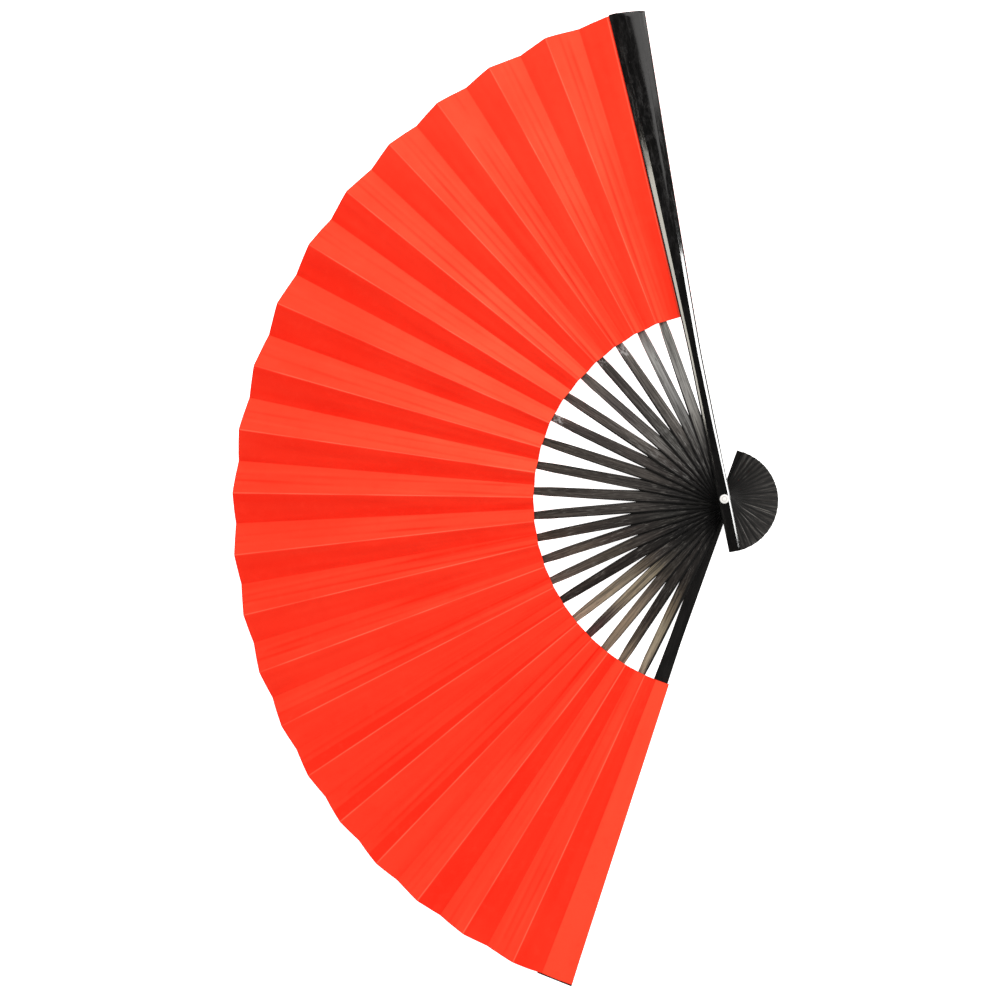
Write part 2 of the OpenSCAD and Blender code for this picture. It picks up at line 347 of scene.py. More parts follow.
class Shader:
    """A Principled material; most methods add a node and return its output."""

    def __init__(self, name):
        self.material = bpy.data.materials.new(name)
        self.material.use_nodes = True
        self.tree = self.material.node_tree
        self.tree.nodes.clear()
        self.output = self.node("OutputMaterial")
        self.surface = self.node("BsdfPrincipled")
        feed(self.tree, self.output.inputs[0], self.surface.outputs[0])

    def node(self, kind, inputs=None, **props):
        return add_node(self.tree, kind, inputs, **props)

    def set(self, inputs):
        for key, value in inputs.items():
            feed(self.tree, self.surface.inputs[key], value)

    def position(self):
        return self.node("TexCoord").outputs["Object"]

    def split(self, vector):
        """The vector's x and y."""
        return self.node("SeparateXYZ", {0: vector}).outputs[:2]

    def noise(self, vector, scale=1.0, detail=3.0, rough=0.5, distortion=0.0):
        return self.node("TexNoise", {
            "Scale": scale, "Detail": detail, "Roughness": rough,
            "Distortion": distortion, "Vector": vector}).outputs["Fac"]

    def grain(self, turn, scale, shift=(0, 0, 0), **look):
        """Position in the frame of a stick (+Y along it), and noise scaled in that frame."""
        own = self.node("VectorRotate", {"Angle": math.radians(-turn),
                                         "Vector": self.position()},
                        rotation_type="Z_AXIS").outputs[0]
        scaled = self.node("Mapping", {"Scale": scale, "Location": shift, "Vector": own})
        return own, self.noise(scaled.outputs[0], **look)

    def ramp(self, factor, stops):
        """Colour ramp; stops are (position, grey or colour)."""
        node = self.node("ValToRGB", {"Fac": factor})
        elements = node.color_ramp.elements
        while len(elements) < len(stops):
            elements.new(0.5)
        for element, (position, colour) in zip(elements, stops):
            element.position = position
            element.color = (*colour, 1) if isinstance(colour, tuple) else (*[colour] * 3, 1)
        return node.outputs["Color"]

    def math(self, operation, *values):
        return self.node("Math", dict(enumerate(values)), operation=operation).outputs[0]

    def product(self, first, *others):
        for other in others:
            first = self.math("MULTIPLY", first, other)
        return first

    def mix(self, factor, base, colour, blend="MIX"):
        return self.node("Mix", {0: factor, 6: base, 7: colour},
                         data_type="RGBA", blend_type=blend).outputs[2]

    def remap(self, value, over, to=(0.0, 1.0)):
        """Clamped straight map of the range `over` onto the range `to`."""
        return self.node("MapRange", {
            "Value": value, "From Min": over[0], "From Max": over[1],
            "To Min": to[0], "To Max": to[1]}).outputs[0]

    def bump(self, height, strength, distance):
        self.set({"Normal": self.node("Bump", {
            "Strength": strength, "Distance": distance, "Height": height}).outputs[0]})

    def attribute(self, name):
        return self.node("Attribute", attribute_name=name,
                         attribute_type="GEOMETRY").outputs["Fac"]


# ---------------------------------------------------------------- leaf cloth
THREAD = 0.00055                # spacing of the weave, metres


def leaf_material():
    mat = Shader("leaf_red_cloth")
    where = mat.position()
    broad = mat.noise(where, scale=22.0)
    mid = mat.noise(where, scale=160.0, rough=0.55)
    fine = mat.noise(where, scale=900.0, detail=2.0, rough=0.6)
    # painted light: each face's lightness, from dark red to light red, stands in for how the light
    # falls on it
    painted_light = mat.remap(mat.attribute("painted_light"), over=(0.0, 1.0))
    base = mat.mix(painted_light, base=(0.84, 0.0072, 0.0016), colour=(0.99, 0.0530, 0.0232))
    # cloudy variation of the dye: noise, range, strength, colour
    for noise, over, most, colour in (
            (broad, (0.3, 0.7), 0.18, (1.0, 0.030, 0.010)),
            (mid, (0.55, 0.75), 0.16, (1.0, 0.050, 0.024)),
            (mid, (0.45, 0.25), 0.16, (0.80, 0.006, 0.002)),
            (fine, (0.3, 0.7), 0.12, (1.0, 0.032, 0.013))):
        base = mat.mix(mat.remap(noise, over=over, to=(0.0, most)), base, colour)
    # painted highlight along the mountain folds, painted shade in the valleys and along the raw
    # edges
    base = mat.mix(mat.product(mat.attribute("crease_highlight"), 0.80), base,
                   colour=(1.0, 0.120, 0.070))
    # painted shade in the valley folds and in the dark lines beside the tongue
    valley = mat.math("MINIMUM", mat.attribute("crease_shade"), 1.0)
    base = mat.mix(mat.product(valley, 0.62), base, colour=(0.46, 0.003, 0.0012))
    # painted shade along the leaf's raw edges, broken up by noise
    wear_and_rim_shade = mat.product(mat.attribute("raw_edge"),
                       mat.remap(mid, over=(0.40, 0.60), to=(0.25, 0.85)))
    base = mat.mix(wear_and_rim_shade, base, colour=(0.45, 0.010, 0.005))
    mat.set({"Base Color": base, "Roughness": mat.ramp(broad, [(0.3, 0.50), (0.7, 0.60)]),
             "Specular IOR Level": 0.22, "Specular Tint": (1.0, 0.90, 0.45)})
    # fine over-under threads along X and Y
    waves = [mat.math("SINE", mat.product(axis, 2 * math.pi / THREAD))
             for axis in mat.split(where)]
    height = mat.math("ADD", mat.product(*waves, 0.25), fine)
    mat.bump(height, strength=0.10, distance=0.00006)
    return mat.material


# ---------------------------------------------------------------- rib bamboo
# (mm from the rivet, colour) along a rib; the tail and rivet end are alike on every rib. The
# near-black round the rivet is painted shade where the sticks overlap, and the pale grey on ribs 1
# to 3 is painted sheen
TONE_START, TONE_END = -35, 115
OVERLAP_SHADE = (0.0048, 0.0044, 0.0042)
STEM_TONES_AND_SHADE = [(-35, (0.036, 0.034, 0.032)), (-12, (0.026, 0.024, 0.023)),
              (-4, OVERLAP_SHADE), (16, OVERLAP_SHADE)]
PLAIN_TONES = [(32, (0.016, 0.014, 0.0135)), (52, (0.044, 0.038, 0.034)),
               (112, (0.046, 0.034, 0.027))]
RIB_TONES_AND_SHEEN = {
    1: [(34, (0.052, 0.050, 0.048)), (52, (0.165, 0.160, 0.150)), (72, (0.235, 0.230, 0.222)),
        (95, (0.235, 0.232, 0.220)), (112, (0.150, 0.145, 0.13))],
    2: [(34, (0.060, 0.057, 0.054)), (52, (0.125, 0.124, 0.122)), (72, (0.205, 0.203, 0.200)),
        (95, (0.235, 0.232, 0.225)), (112, (0.130, 0.108, 0.104))],
    3: [(34, (0.030, 0.028, 0.026)), (50, (0.098, 0.088, 0.080)), (95, (0.102, 0.090, 0.080)),
        (112, (0.120, 0.10, 0.095))],
    4: [(32, (0.040, 0.038, 0.035)), (50, (0.056, 0.054, 0.050)), (95, (0.052, 0.042, 0.038)),
        (112, (0.032, 0.025, 0.021))],
    5: [(32, (0.024, 0.020, 0.018)), (50, (0.108, 0.100, 0.094)), (75, (0.075, 0.064, 0.062)),
        (112, (0.092, 0.073, 0.062))],
    6: [(32, (0.026, 0.022, 0.021)), (52, (0.070, 0.060, 0.054)), (85, (0.080, 0.066, 0.058)),
        (112, (0.082, 0.052, 0.045))],
    7: [(32, (0.028, 0.024, 0.022)), (52, (0.046, 0.038, 0.035)), (95, (0.048, 0.036, 0.033)),
        (112, (0.086, 0.056, 0.046))],
    8: [(32, (0.016, 0.013, 0.012)), (50, (0.054, 0.046, 0.041)), (112, (0.048, 0.036, 0.028))],
    12: [(32, (0.028, 0.027, 0.025)), (50, (0.024, 0.020, 0.018)), (75, (0.036, 0.027, 0.022)),
         (112, (0.064, 0.038, 0.026))],
    13: [(32, (0.012, 0.011, 0.009)), (50, (0.022, 0.017, 0.015)), (72, (0.044, 0.030, 0.024)),
         (90, (0.082, 0.058, 0.043)), (112, (0.082, 0.050, 0.040))],
    14: [(32, OVERLAP_SHADE), (50, (0.042, 0.034, 0.030)), (72, (0.062, 0.048, 0.034)),
         (92, (0.095, 0.070, 0.056)), (112, (0.112, 0.074, 0.058))],
    15: [(32, OVERLAP_SHADE), (50, (0.018, 0.014, 0.012)), (75, (0.019, 0.012, 0.009)),
         (112, (0.029, 0.018, 0.013))],
    16: [(32, OVERLAP_SHADE), (50, (0.032, 0.025, 0.022)), (62, (0.085, 0.064, 0.044)),
         (76, (0.175, 0.140, 0.098)), (88, (0.245, 0.190, 0.130)), (112, (0.27, 0.180, 0.130))],
    17: [(34, (0.020, 0.018, 0.016)), (48, (0.060, 0.050, 0.040)), (60, (0.20, 0.165, 0.112)),
         (80, (0.25, 0.195, 0.130)), (90, (0.135, 0.104, 0.080)), (100, (0.045, 0.024, 0.020)),
         (112, (0.075, 0.026, 0.023))],
    18: [(34, (0.024, 0.021, 0.019)), (52, (0.042, 0.034, 0.026)), (64, (0.078, 0.058, 0.044)),
         (78, (0.150, 0.112, 0.080)), (90, (0.195, 0.140, 0.095)), (112, (0.170, 0.122, 0.085))],
    19: [(34, (0.021, 0.017, 0.015)), (72, (0.017, 0.012, 0.009)), (84, (0.030, 0.019, 0.014)),
         (98, (0.090, 0.064, 0.045)), (105, (0.195, 0.140, 0.095)), (112, (0.20, 0.145, 0.10))],
    20: [(34, (0.012, 0.010, 0.009)), (52, (0.016, 0.011, 0.009)), (62, (0.040, 0.029, 0.019)),
         (72, (0.130, 0.096, 0.060)), (84, (0.25, 0.205, 0.140)), (112, (0.25, 0.195, 0.14))],
}
# rib: (start mm, end mm, strength) of glue left beside the leaf
GLUE = {3: (101, 112, 0.7), 4: (105, 112, 0.55), 7: (105, 111, 0.8)}
WORN_RIBS = (2, 3, 4, 5, 6)


def rib_material(i):
    """Stained bamboo: lengthwise fibres, each rib with its own tone along its length, with painted
    sheen on ribs 1 to 3, painted shade near the rivet, along the long edges and against the stick
    on top, and painted highlights on the tail.
    """
    mat = Shader("rib_bamboo_%02d" % i)
    remap, product, mix = mat.remap, mat.product, mat.mix
    turn = direction(i)
    own, fibre = mat.grain(turn, scale=(1700, 26, 900), shift=(i * 7.3, i * 3.1, 0), rough=0.65)
    _, hair = mat.grain(turn, scale=(2300, 190, 1200), shift=(i * 6.1, i * 4.4, 0),
                        detail=2.0, rough=0.6)
    _, streak = mat.grain(turn, scale=(800, 14, 400), shift=(i * 2.7, i * 5.9, 0),
                          rough=0.6, distortion=0.3)
    _, blot = mat.grain(turn, scale=(300, 60, 100), shift=(i * 4.3, i * 1.7, 0),
                        distortion=0.4)
    across, along = mat.split(own)

    # the tone's borders run out along the fibres instead of ending straight across
    frayed = mat.math("ADD", along, remap(streak, over=(0.3, 0.7), to=(-0.007, 0.007)))
    stops = [((y - TONE_START) / (TONE_END - TONE_START), colour)
             for y, colour in STEM_TONES_AND_SHADE + RIB_TONES_AND_SHEEN.get(i, PLAIN_TONES)]
    base = mat.ramp(remap(frayed, over=(TONE_START * MM, TONE_END * MM)), stops)
    dark = mix(1.0, base, colour=(0.27, 0.255, 0.245), blend="MULTIPLY")
    light = mix(1.0, base, colour=(1.28, 1.27, 1.25), blend="MULTIPLY")
    base = mix(remap(fibre, over=(0.34, 0.66)), dark, light)
    base = mix(remap(blot, over=(0.60, 0.74), to=(0.0, 0.35)), base, light)
    base = mix(remap(streak, over=(0.42, 0.30), to=(0.0, 0.6)), base, dark)

    # pale flecks and dark hairs
    fleck = product(remap(hair, over=(0.56, 0.70), to=(0.0, 0.42)),
                    remap(blot, over=(0.40, 0.60), to=(0.35, 1.0)))
    base = mix(fleck, base, colour=(0.20, 0.188, 0.172))
    base = mix(remap(hair, over=(0.42, 0.26), to=(0.0, 0.7)), base,
               colour=(0.006, 0.005, 0.005))
    if i in WORN_RIBS:
        # stain rubbed off the grain near the front guard
        wear_and_rim_shade = product(remap(along, over=(0.016, 0.030)), remap(along, over=(0.074, 0.052)),
                       remap(streak, over=(0.38, 0.58), to=(0.3, 1.0)),
                       remap(hair, over=(0.50, 0.62), to=(0.0, 0.60)))
        base = mix(wear_and_rim_shade, base, colour=(0.17, 0.165, 0.16))

    # painted highlights along the fibres on the tail, standing in for light caught by the sticks'
    # edges, strongest on ribs 1 to 8
    painted_glints = product(remap(along, over=(-0.003, -0.010)), 1.0 if i < 9 else 0.15,
                        remap(fibre, over=(0.60, 0.66), to=(0.0, 0.7)))
    base = mix(painted_glints, base, colour=(0.30, 0.29, 0.27))

    # painted shade along both long edges, for the sticks' side faces and the shadows between
    # stacked sticks; +X in the stick's frame is the side toward the front guard
    front_edge = product(remap(across, over=(0.0023, 0.0028)),
                         remap(along, over=(0.004, -0.002), to=(0.50, 0.92)))
    base = mix(front_edge, base, colour=(0.005, 0.0045, 0.004))
    # painted shadow along the rear edge, where the stick steps down to the next one
    rear_edge = remap(across, over=(-0.0022, -0.0027), to=(0.0, 0.94))
    base = mix(rear_edge, base, colour=(0.003, 0.0026, 0.0024))
    # painted shade along the tail's front edge
    tail_gap_shade = product(remap(along, over=(-0.006, -0.011), to=(0.0, 0.85)),
                        remap(across, over=(0.0018, 0.0022)))
    base = mix(tail_gap_shade, base, colour=(0.003, 0.0027, 0.0025))

    if i in GLUE:
        start, end, strength = GLUE[i]
        _, crumbs = mat.grain(turn, scale=(900, 420, 300), shift=(i, i * 2.0, 0),
                              detail=4.0, rough=0.6)
        window = product(remap(along, over=(start * MM, (start + 2.5) * MM)),
                         remap(along, over=((end + 1.5) * MM, end * MM)))
        glue = product(window, remap(crumbs, over=(0.46, 0.60)), strength)
        base = mix(glue, base, colour=(0.34, 0.32, 0.32))

    # painted shade against the stick lying on top, from an ambient occlusion node
    occlusion = mat.node("AmbientOcclusion", {"Distance": 0.0012}, samples=8)
    near = remap(occlusion.outputs["AO"], over=(0.55, 0.95), to=(0.30, 1.0))
    occlusion_shade = mat.node("CombineColor", {0: near, 1: near, 2: near})
    base = mix(1.0, base, occlusion_shade.outputs[0], blend="MULTIPLY")
    mat.set({"Base Color": base, "Specular IOR Level": 0.28,
             "Roughness": remap(streak, over=(0.3, 0.7), to=(0.42, 0.60))})
    mat.bump(mat.math("ADD", product(streak, 0.6), fibre), strength=0.5, distance=0.00016)
    return mat.material


# ---------------------------------------------------------------- lacquer and enamel
def lacquer_material(name, turn, gain):
    """Black lacquer; gain lightens its two darkest colours."""
    mat = Shader(name)
    remap = mat.remap
    own, soft = mat.grain(turn, scale=(420, 60, 200), distortion=0.5)
    _, scratch = mat.grain(turn, scale=(2600, 300, 1500), shift=(3.1, 7.7, 0),
                           rough=0.65, distortion=0.8)
    _, dust = mat.grain(turn, scale=(900, 260, 600), shift=(11.0, 2.0, 5.0),
                        detail=4.0, rough=0.7)
    _, cloud = mat.grain(turn, scale=(260, 170, 200), shift=(7.0, 3.0, 1.0),
                         detail=5.0, rough=0.7)
    base = mat.ramp(soft, [(0.3, tuple(gain * c for c in (0.0040, 0.0038, 0.0037))),
                           (0.7, tuple(gain * c for c in (0.0068, 0.0060, 0.0056)))])
    _, along = mat.split(own)
    # dull smudges and patches, stronger near the tip
    tip = mat.product(remap(along, over=(0.12, 0.20), to=(0.15, 1.0)),
                      remap(along, over=(0.25, 0.285), to=(1.0, 0.45)))
    smudge = mat.product(remap(soft, over=(0.46, 0.62), to=(0.0, 0.85)), tip,
                         remap(scratch, over=(0.40, 0.62)))
    base = mat.mix(smudge, base, colour=(0.042, 0.040, 0.039))
    patch = mat.product(remap(cloud, over=(0.50, 0.62), to=(0.0, 0.75)), tip,
                        remap(dust, over=(0.38, 0.60), to=(0.1, 1.0)))
    base = mat.mix(patch, base, colour=(0.040, 0.038, 0.037))
    base = mat.mix(remap(dust, over=(0.68, 0.76), to=(0.0, 0.6)), base,
                   colour=(0.12, 0.115, 0.11))
    rough = mat.math("ADD", remap(scratch, over=(0.35, 0.75), to=(0.05, 0.13)),
                     remap(soft, over=(0.5, 0.75), to=(0.0, 0.10)))
    mat.set({"Base Color": base, "Roughness": rough, "IOR": 1.6,
             "Coat Weight": 0.2, "Coat Roughness": 0.05})
    mat.bump(mat.math("ADD", mat.product(scratch, 0.35), soft),
             strength=0.10, distance=0.00005)
    return mat.material


def rivet_material():
    mat = Shader("rivet_white_enamel")
    where = mat.position()
    mottle = mat.noise(where, scale=800.0)
    base = mat.ramp(mottle, [(0.3, (0.68, 0.67, 0.65)), (0.7, (0.76, 0.75, 0.73))])
    x, y = mat.split(where)
    radius = mat.math("SQRT", mat.math("ADD", mat.product(x, x), mat.product(y, y)))
    # painted shade in the ring groove and round the rim
    groove_shade = mat.ramp(mat.remap(radius, over=(0.0, 0.0029)),
                     [(0.0, 0.0), (0.38, 0.0), (0.47, 0.95), (0.57, 0.0), (0.84, 0.0), (1.0, 0.9)])
    mat.set({"Base Color": mat.mix(groove_shade, base, colour=(0.36, 0.345, 0.32)),
             "Roughness": mat.remap(mottle, over=(0.3, 0.7), to=(0.22, 0.36))})
    mat.bump(mottle, strength=0.08, distance=0.00005)
    return mat.material


# ---------------------------------------------------------------- leaf
# radii of a panel's rows, and places of its columns from fold to fold
ROWS = np.concatenate([[LEAF_IN, LEAF_IN + 0.5, LEAF_IN + 1.6],
                       np.linspace(LEAF_IN + 4, LEAF_OUT - 3, 50),
                       [LEAF_OUT - 1.2, LEAF_OUT - 0.4, LEAF_OUT]])
NEAR_FOLD = [0, 0.010, 0.024, 0.045, 0.075, 0.12]
COLS = np.array(NEAR_FOLD + list(np.linspace(0.16, 0.84, 15)) + [1 - t for t in NEAR_FOLD[::-1]])
SHEET_HALF = 0.10

# (direction, mm outward) of the hand-cut rims
OUTER_TRIM = [(-2.2, -1.5), (0.6, 0.9), (1.9, 2.9), (12, 0.6), (25, -0.6), (40, -1.2), (60, -0.8),
              (80, 0.0), (105, 0.3), (125, 1.6), (146, 1.7), (147.6, 1.2), (152, 1.2)]
INNER_TRIM = [(0, -1.9), (20, -1.7), (38, -1.5), (52, 0)]

# (direction, painted lightness) of the glued and the free faces: painted light and shade that
# stands in for how the light falls on each face of the pleats
GLUED_PAINTED_LIGHT = [(0, 0.70), (8, 0.70), (30, 0.66), (55, 0.63), (70, 0.68), (88, 0.52), (95, 0.36),
              (104, 0.42), (111, 0.22), (126, 0.22), (129, 0.62), (150, 0.66)]
FREE_PAINTED_LIGHT = [(0, 0.42), (5, 0.42), (9, 0.62), (24, 0.64), (35, 0.44), (45, 0.18), (60, 0.18),
             (85, 0.20), (95, 0.38), (104, 0.52), (128, 0.56), (131, 0.16), (150, 0.16)]

PROUD_RIBS = (1, 2, 3, 12, 13, 14, 18)          # tongue shows higher through the sheet
SHADED_RIBS = (11, 12, 13, 14)                  # deeper shade beside the tongue
SPLIT_RIBS = (1, 2, 3, 4, 12, 13, 14, 18)       # face painted in two along the stick: painted shade on the valley side and a painted dark line between
DARK_BANDS = {14: 0.20, 15: 0.34, 16: 0.38, 17: 0.32}   # painted shade beyond the tongue


def wrinkle(radius, angle):
    """Height of the sheet's small unevenness."""
    height = 0.26 * value_noise(angle / 3.1 + 5.0, radius / 64.0, seed=11)
    height += 0.17 * value_noise(angle / 1.15 + 0.004 * radius, radius / 42.0, seed=23)
    height += 0.055 * value_noise(angle / 0.45, radius / 26.0, seed=37)
    height += 0.10 * value_noise(angle / 2.0 + radius / 18.0, radius / 15.0, seed=41)
    # diagonal drag lines near the inner edge in the middle of the sweep
    mid = band(angle, (48, 70, 90, 112)) * ease(radius, 178, 128)
    return height + mid * 0.20 * value_noise(angle / 1.6 - radius / 26.0, radius / 40.0, seed=51)


def trim(radius, angle):
    """How far the rims wander, eased in over the outer part and out from the inner edge."""
    return (lookup(angle, OUTER_TRIM) * ease(radius, 200, LEAF_OUT)
            + lookup(angle, INNER_TRIM) * (1 - ease(radius, LEAF_IN, LEAF_IN + 40)))


def fold_bend(distance, size, width):
    return size * np.clip(1 - distance / width, 0, 1) ** 2


def mottle(radius, angle):
    return (0.09 * value_noise(angle / 2.3, radius / 30.0, seed=91)
            + 0.06 * value_noise(angle / 0.55, radius / 60.0, seed=93))


def glued_painted_light(light, valley, rib, radius, angle):
    """Painted lightness and painted valley shade of a face with a stick under it."""
    across = arc(radius, angle - direction(rib))
    half = tongue_half(radius)
    rear, front = across - half, across + half      # mm from the tongue's two sides
    fade1 = 0.55 + 0.9 * value_noise(radius / 31.0, rib * 3.3, seed=95)
    fade2 = 0.55 + 0.9 * value_noise(radius / 27.0, rib * 5.1, seed=96)
    light = light - 0.16 * band(angle, (14, 28, 84, 100)) * ease(radius, 195, 275)
    # shadow, then sheen, along the two sides of the tongue
    shade = 0.46 if rib in SHADED_RIBS else 0.30
    light -= shade * fade1 * bell(rear, 0.7, 0.65) + 0.24 * fade2 * bell(front, -0.7, 0.65)
    light += 0.14 * fade2 * bell(rear, 2.3, 0.8) + 0.12 * fade1 * bell(front, -2.6, 1.0)
    if rib in DARK_BANDS:
        beyond = ease(rear, -0.6, 0.6)
        light += 0.10 * (1 - beyond) - DARK_BANDS[rib] * beyond
        light -= 0.16 * fade1 * bell(rear, 1.9, 0.9)
    light += 0.28 * band(angle, (28, 38, 66, 78)) * ease(radius, 205, 155)
    light += mottle(radius, angle)
    if rib in SPLIT_RIBS:
        # painted shade on the side toward the valley, and a painted dark line along the ridge
        ridge = direction(rib) - 0.25
        limit = 225 + 20 * math.sin(rib * 2.4)
        reach = ease(radius, limit, limit - 45)
        light -= 0.34 * ease(angle, ridge, ridge - 0.3) * reach
        valley = valley + 0.8 * bell(arc(radius, angle - ridge), 0, 0.42) * reach
    if rib < 6:
        # painted shade lines beyond the tongue on the ribs nearest the front guard
        limit = 280 + 14 * math.sin(rib * 1.7)
        reach = ease(radius, limit, limit - 70)
        broken = 0.8 + 0.5 * value_noise(radius / 23.0, rib * 2.9, seed=97)
        valley = valley + 1.5 * bell(rear, 0.3, 0.55) * reach * broken
        valley = valley + 0.9 * bell(rear, 1.7, 0.45) * reach * ease(radius, 210, 150)
    return light, valley


# painted lightness of a face with no stick under it
def free_painted_light(light, radius, angle):
    light = light - 0.16 * ease(angle, 6, 4.5) * ease(radius, 240, 150)
    light -= 0.07 * band(angle, (38, 46, 58, 66)) * ease(radius, 225, 275)
    light -= 0.09 * band(angle, (72, 80, 104, 112)) * ease(radius, 262, 292)
    return light + mottle(radius, angle)


def panel(name, start, end, body, replaces=None, rib=None, painted_light=None,
          damp=lambda radius, angle: 1.0):
    """One flat-folded panel between two edges, each (direction, height, kind).

    Kind is 'v' valley, 'm' mountain or 'e' free edge. rib is the stick glued under it.
    """
    radius = ROWS[:, None]
    angle0, angle1, z0, z1 = (np.broadcast_to(value, ROWS.shape)[:, None]
                              for value in (start[0], end[0], start[1], end[1]))
    angle = angle0 + (angle1 - angle0) * COLS
    z = z0 + (z1 - z0) * COLS
    width = arc(radius, angle1 - angle0)
    mountain_highlight, valley_shade = np.zeros_like(angle), np.zeros_like(angle)
    for distance, kind in ((width * COLS, start[2]), (width * (1 - COLS), end[2])):
        if kind == "m":
            z -= fold_bend(distance, size=0.12, width=0.9)
            # painted highlight along the mountain fold, broken up by noise
            glint_strength = 0.75 + 0.5 * value_noise(radius / 17.0, angle / 9.0, seed=61)
            mountain_highlight += bell(distance, 0, 0.30) * glint_strength
        elif kind == "v":
            z += fold_bend(distance, size=0.10, width=0.8)
            # painted shade in the valley fold
            valley_shade += 0.35 * bell(distance, 0, 0.45)

    uneven = wrinkle(radius, angle) * damp(radius, angle)
    if rib is not None:
        across = np.abs(arc(radius, angle - direction(rib)))
        half = tongue_half(radius)
        lift = ease(across, half + 1.0, half) * ease(radius, LEAF_OUT + 1, LEAF_OUT - 4)
        z += (0.30 if rib in PROUD_RIBS else 0.16) * lift
        uneven = uneven * (1 - 0.6 * lift) + 0.03 * lift
    z += uneven

    middle = 0.5 * (angle0 + angle1)
    if rib is not None:
        light, valley_shade = glued_painted_light(lookup(middle, GLUED_PAINTED_LIGHT), valley_shade,
                                        rib, radius, angle)
    else:
        light = free_painted_light(lookup(middle, FREE_PAINTED_LIGHT) if painted_light is None else painted_light, radius, angle)
    raw_edge = np.maximum(1 - (radius - LEAF_IN) / 0.5, 1 - (LEAF_OUT - radius) / 0.5)

    trimmed = radius + trim(radius, angle)
    x = -trimmed * np.sin(np.radians(angle))
    y = trimmed * np.cos(np.radians(angle))
    shape = slab(np.stack([x, y, z + SHEET_HALF], -1), np.stack([x, y, z - SHEET_HALF], -1))
    marks = {"crease_highlight": mountain_highlight, "crease_shade": valley_shade,
             "raw_edge": raw_edge + 0 * angle, "painted_light": light}
    ob = new_object(name, shape, LEAF, 50,
                    {key: np.tile(np.clip(grid, 0, 1).ravel(), 2) for key, grid in marks.items()})
    register(ob, body, replaces)
    return ob


def mountain(i):
    return mountain_dir(i), mountain_z(i, ROWS), "m"


def valley(i):
    return valley_dir(i), valley_z(i, ROWS), "v"


def glued_panel(i):
    ob = panel("leaf_glued_%02d" % i, valley(i), mountain(i), "rib_%02d" % i, rib=i)
    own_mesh(ob)


def free_panel(i):
    """Panel from mountain i to valley i + 1."""
    ob = panel("leaf_free_%02d" % i, mountain(i), valley(i + 1), "leaf_%02d" % i,
               replaces="leaf_pleat_%02d" % i)
    high, low = mountain_dir(i), valley_dir(i + 1)
    corners = [Vector(place(0, radius, z, turn)) * MM for radius, z, turn in (
        (LEAF_IN, mountain_z(i, LEAF_IN), high), (LEAF_OUT, mountain_z(i, LEAF_OUT), high),
        (LEAF_OUT, valley_z(i + 1, LEAF_OUT), low), (LEAF_IN, valley_z(i + 1, LEAF_IN), low))]
    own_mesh(ob)


def end_panels():
    """The flat strips under the front guard and over the rear guard."""
    front_edge = -np.degrees(np.arctan((guard_half(ROWS) - 1.4) / ROWS))
    panel("leaf_end_front", (front_edge, mountain_z(0, ROWS), "e"), mountain(0), "front_guard",
          replaces="leaf_front_end",
          damp=lambda radius, angle: 0.35 * ease(radius * np.radians(angle), 0, 6.0))
    rear_half = 5.2 + (ROWS - LEAF_IN) * 0.0295
    rear_edge = SPREAD + np.degrees(np.arctan(rear_half / ROWS))
    panel("leaf_end_rear", valley(LAST), (rear_edge, valley_z(LAST, ROWS), "e"), "rear_guard",
          replaces="leaf_rear_end", damp=lambda radius, angle: 0.35, painted_light=1.0)


LEAF = leaf_material()
for i in range(1, RIBS + 1):
    glued_panel(i)
for i in range(0, RIBS + 1):
    free_panel(i)
end_panels()

# ---------------------------------------------------------------- ribs
# (mm from the rivet, half width) and (mm from the rivet, thickness)
RIB_HALF = [(-TAIL, RIB_WIDTH * 0.44), (-12, RIB_WIDTH * 0.48), (20, RIB_WIDTH * 0.5),
            (48, RIB_WIDTH * 0.5), (72, RIB_WIDTH * 0.465), (103, LEAF_RIB_WIDTH / 2),
            (111, TONGUE_ROOT_HALF), (RIB_END, TONGUE_TIP_WIDTH / 2)]
RIB_TOP = [(-TAIL, RIB_THICK), (103, RIB_THICK), (111, TONGUE_THICK), (RIB_END, TONGUE_THICK)]
RIB_STATIONS = [-TAIL, -TAIL + 0.12, -TAIL + 0.4, *np.linspace(-30, 98, 33),
                101, 103, 105, 107, 109, 111, 114, *np.linspace(120, 290, 18), 294.0, RIB_END]
RIB_CROWN = 0.03

# rib: slight bow between the rivet and the leaf, in degrees at the leaf
BOW = {2: -0.2, 3: 0.2, 4: 0.2, 5: -0.2, 6: 0.2, 8: -0.15, 9: -0.42, 10: -0.1, 12: -0.42,
       13: -0.55, 14: -0.45, 15: -0.5, 16: -0.1, 17: -0.12, 20: 0.55}


